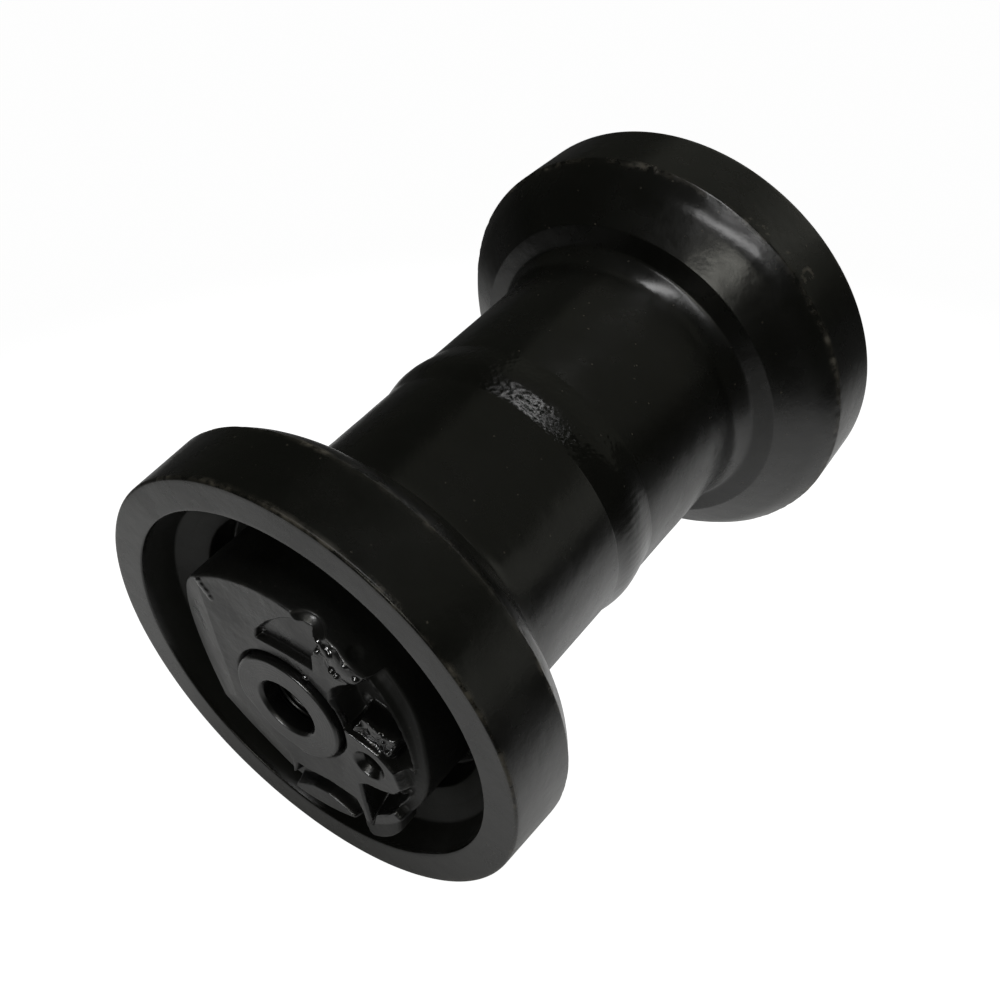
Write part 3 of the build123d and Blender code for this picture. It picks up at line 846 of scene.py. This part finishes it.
def thread(r, y, theta, amount):
    """Cuts the thread into the holes' walls where amount says, with a run-out at both ends: the new radii."""
    at = np.abs(y)
    phase = at / THREAD_PITCH + np.sign(y) * theta / (2 * math.pi)
    tooth = np.abs(phase % 1.0 - 0.5) * 2
    run_out = smooth(SHAFT_END_AT - 5.0 - at, 0, 2.5) * smooth(at, HOLE_BOTTOM_AT + 0.8, HOLE_BOTTOM_AT + 3)
    return r + amount * (THREAD_DEPTH * smooth(tooth, 0.12, 0.88) * run_out)


def paint_ends(points, r):
    """Shallow turning marks and thick paint on the end faces. The paint has sagged to the lower edge."""
    y = points[:, 1]
    end_ring = smooth(r, 11.9, 13.0) * (1 - smooth(r, 18.8, 19.4)) * (np.abs(y) > SHAFT_END_AT - 0.1)
    marks = 0.012 * np.sin(r * 5.2) + 0.02 * cloud(points, 5, 61)
    points[:, 1] -= np.sign(y) * end_ring * (0.03 + marks)
    turn = np.degrees(np.arctan2(points[:, 2], points[:, 0])) % 360
    low = smooth(turn, 198, 222) * (1 - smooth(turn, 268, 286))
    sag = low * smooth(r, 17.0, SHAFT_R) ** 1.4 * (np.abs(y) > SHAFT_END_AT - 1.2)
    points[:, 1] -= np.sign(y) * PAINT_SAG * sag


def shaft():
    segments = SHAFT_SEGMENTS
    rows = shaft_outline()
    theta = (np.arange(segments) * (2 * math.pi / segments))[None, :]
    r, y, amount = (np.repeat(column[:, None], segments, 1) for column in rows.T)
    r = thread(r, y, theta, amount)
    points = np.stack([r * np.cos(theta), y, r * np.sin(theta)], 2).reshape(-1, 3)
    paint_ends(points, r.ravel())
    # the surface ends in the holes' bottoms, which a fan of triangles closes
    faces = grid_faces(len(rows), segments, wrap_rows=False)
    near_pole, far_pole = len(points), len(points) + 1
    points = np.concatenate([points, [(0, rows[0, 1], 0), (0, rows[-1, 1], 0)]])
    last = (len(rows) - 1) * segments
    for j in range(segments):
        k = (j + 1) % segments
        faces += [(near_pole, k, j), (far_pole, last + j, last + k)]
    obj = make_mesh("shaft_turned", points, faces)
    paint(obj, MAT["shaft"])
    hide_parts("shaft")
    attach(obj, "axle")
    return obj


turned_shaft = shaft()

# ---------------------------------------------------------------- CAD nodes that stay
for part in frame["record"]["subparts"]:
    node = frame["nodes"][part["node"]]
    if not node.hide_render:
        paint(node, MAT[part["material_slot"]])


# ---------------------------------------------------------------- floor, light, camera
FLOOR_Z = -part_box("shell_half_near")[1].x    # the rims stand on it
FLOOR_GAP = 0.0003       # from the sheet that the paint reflects down to the floor that the camera sees
FLOOR_SIDE = 14.0
SHEET_SIDE = 5.0
BACKDROP_R = 6.0


def plane(name, side, z):
    h = side / 2
    corners = [(-h, -h, z), (h, -h, z), (h, h, z), (-h, h, z)]
    mesh = bpy.data.meshes.new(name)
    mesh.from_pydata(corners, [], [(0, 1, 2, 3)])
    return link_mesh(name, mesh)


def backdrop(radius, rows=16, segments=48):
    """A dome behind everything, closed over the top. It starts a little below the floor."""
    points = []
    for i in range(rows + 1):
        r, z = polar(radius, -4 + 94 * i / rows)
        points += [(*polar(r, 360 * j / segments), z) for j in range(segments)]
    mesh = bpy.data.meshes.new("backdrop")
    mesh.from_pydata(points, [], grid_faces(rows + 1, segments, wrap_rows=False))
    return link_mesh("backdrop", mesh)


def glowing(name):
    """A dull material that gives off white light."""
    m, tree, shader, coords = material(name)
    shader.inputs["Roughness"].default_value = 0.9
    shader.inputs["Specular IOR Level"].default_value = 0.0
    shader.inputs["Emission Color"].default_value = (1, 1, 1, 1)
    return m, tree, shader, coords


def pale_floor():
    """White, as in the photo, whatever the light."""
    m, _, shader, _ = glowing("pale_floor")
    shader.inputs["Base Color"].default_value = (0.5, 0.5, 0.5, 1)
    shader.inputs["Emission Strength"].default_value = 0.985
    return m


def spot(tree, coords, centre, turn, size, blend, inside, outside):
    """An oval patch: one value inside it and another outside, blended between two shares of its size."""
    mapping = tree.nodes.new("ShaderNodeMapping")
    mapping.vector_type = "TEXTURE"
    mapping.inputs["Location"].default_value = (*centre, 0)
    mapping.inputs["Rotation"].default_value = (0, 0, math.radians(turn))
    mapping.inputs["Scale"].default_value = (*size, 1)
    tree.links.new(coords, mapping.inputs["Vector"])
    length = tree.nodes.new("ShaderNodeVectorMath")
    length.operation = "LENGTH"
    tree.links.new(mapping.outputs[0], length.inputs[0])
    return ramp(tree, length.outputs["Value"], *blend, inside, outside)


def pale_sheet():
    """What the paint reflects from below: a painted pool of light round the roller, a painted contact shadow
    where it stands, and painted lighter and dimmer patches beside it.
    """
    m, tree, shader, coords = glowing("pale_sheet")
    pool = spot(tree, coords, (0.0, -0.03), 45, (0.30, 0.21), (0.7, 1.35), 1.0, 0.0)
    painted_contact_shadow = spot(tree, coords, (0.0, -0.095), 0, (0.12, 0.055), (0.4, 1.4), 0.3, 1.0)
    dim_side = spot(tree, coords, (-0.27, -0.26), 45, (0.09, 0.13), (0.5, 1.4), 0.15, 1.0)
    bright_side = spot(tree, coords, (0.15, 0.02), 0, (0.07, 0.10), (0.3, 1.3), 0.26, 0.0)
    tube_side = spot(tree, coords, (0.07, 0.045), 0, (0.05, 0.07), (0.3, 1.3), 0.2, 0.0)
    glow = times(tree, times(tree, pool, dim_side), times(tree, painted_contact_shadow, 0.31))
    glow = plus(tree, glow, plus(tree, bright_side, tube_side))
    # the sheet's colour is lighter in the pool: painted light
    painted_pool_colour = mix_colour(tree, pool, (0.12, 0.12, 0.12), (0.85, 0.85, 0.85))
    tree.links.new(painted_pool_colour, shader.inputs["Base Color"])
    tree.links.new(glow, shader.inputs["Emission Strength"])
    return m


# Only the camera sees the floor and the dome. Only the camera doesn't see the sheet.
floor = plane("floor", FLOOR_SIDE, FLOOR_Z - FLOOR_GAP)
dome = backdrop(BACKDROP_R)
white = pale_floor()
for obj in (floor, dome):
    paint(obj, white)
    obj.visible_glossy = False
    obj.visible_diffuse = False
    obj.visible_shadow = False
sheet = plane("floor_glow", SHEET_SIDE, FLOOR_Z)
paint(sheet, pale_sheet())
sheet.visible_camera = False

world = bpy.data.worlds.new("studio")
world.use_nodes = True
world.node_tree.nodes["Background"].inputs["Color"].default_value = (0.98, 1.0, 0.84, 1)
world.node_tree.nodes["Background"].inputs["Strength"].default_value = 0.034
bpy.context.scene.world = world

WHITE = (1, 1, 1)
WARM = (1.0, 0.99, 0.9)
YELLOWISH = (1.0, 1.0, 0.84)
PALE_YELLOW = (1.0, 1.0, 0.9)


def area(name, direction, distance, size, radiance, glossy=True, colour=WHITE):
    """A soft rectangular light aimed at the origin. A mirror would show it with this radiance."""
    data = bpy.data.lights.new(name, "AREA")
    data.shape = "RECTANGLE"
    data.size, data.size_y = size
    data.energy = radiance * math.pi * size[0] * size[1]
    data.color = colour
    obj = bpy.data.objects.new(name, data)
    bpy.context.scene.collection.objects.link(obj)
    towards = Vector(direction).normalized()
    obj.location = towards * distance
    obj.rotation_mode = "QUATERNION"
    obj.rotation_quaternion = (-towards).to_track_quat("-Z", "Y")
    obj.visible_glossy = glossy
    obj.visible_camera = False
    return obj


def reflection(receivers, *lamp, **options):
    """An area light that is only a reflection, and only on these objects."""
    lamp = area(*lamp, **options)
    lamp.visible_diffuse = False
    collection = bpy.data.collections.new(lamp.name + "_receivers")
    for obj in receivers:
        collection.objects.link(obj)
    lamp.light_linking.receiver_collection = collection


def toward(azimuth, elevation):
    """A direction from two angles in degrees: azimuth from +X towards +Y, and elevation above the floor."""
    a, e = math.radians(azimuth), math.radians(elevation)
    return (math.cos(a) * math.cos(e), math.sin(a) * math.cos(e), math.sin(e))


# soft light for all pieces
area("overhead", (0, 0.1, 1), 1.7, (1.4, 1.4), 1.7, glossy=False)
area("back_wall", toward(80, 38), 2.5, (4.0, 2.6), 0.10, colour=YELLOWISH)
area("front_window", toward(-76, 29), 1.3, (0.40, 0.26), 4.6, colour=WARM)
# the photo's bright streaks and patches, each on the piece that shows it
near_shell, far_shell = shells
reflection([far_shell], "far_shoulder_lamp", toward(-66, 53), 1.4, (0.9, 0.24), 7.5)
reflection([far_shell], "far_strip", (0.14, 0.06, 1.35), 1.35, (1.1, 0.26), 7.5)
reflection([near_shell], "near_strip", (0.14, -0.24, 1.35), 1.35, (1.1, 0.2), 4.0)
reflection([far_shell], "far_card", toward(72, 24), 2.0, (0.8, 0.45), 0.33, colour=PALE_YELLOW)
reflection([near_shell], "near_card", toward(30, 6), 2.0, (2.2, 1.1), 0.3, colour=PALE_YELLOW)
reflection([weld_ring], "weld_lamp", (0.0, 0.27, 1.0), 1.35, (0.7, 0.04), 12.0)
reflection([weld_ring], "weld_lamp_wide", (0.03, 0.27, 1.0), 1.36, (1.4, 0.02), 7.0)
reflection([*collars, turned_shaft], "glint_lamp", toward(-92, 12), 1.2, (0.2, 0.14), 50.0)
reflection([collars[1], turned_shaft], "far_glint_lamp", toward(92, 12), 1.2, (0.2, 0.14), 50.0)
# the photo doesn't show the far end, which this lights
area("rear_window", toward(95, 7), 2.2, (1.4, 0.4), 0.8)

CAMERA_AT = (0.1979, -0.2829, 0.3464)
RIGHT = Vector((0.8104, 0.5859, 0.0))
UP = Vector((-0.4202, 0.5812, 0.6969))
FORWARD = Vector((-0.4083, 0.5647, -0.7172))
camera_data = bpy.data.cameras.new("camera")
camera_data.lens = 50.5
camera_data.sensor_width = 36
camera_data.clip_start = 0.01
camera = bpy.data.objects.new("camera", camera_data)
bpy.context.scene.collection.objects.link(camera)
rotation = Matrix((RIGHT, UP, -FORWARD)).transposed().to_4x4()
camera.matrix_world = Matrix.Translation(CAMERA_AT) @ rotation
bpy.context.scene.camera = camera
bpy.context.scene.view_settings.view_transform = "Standard"
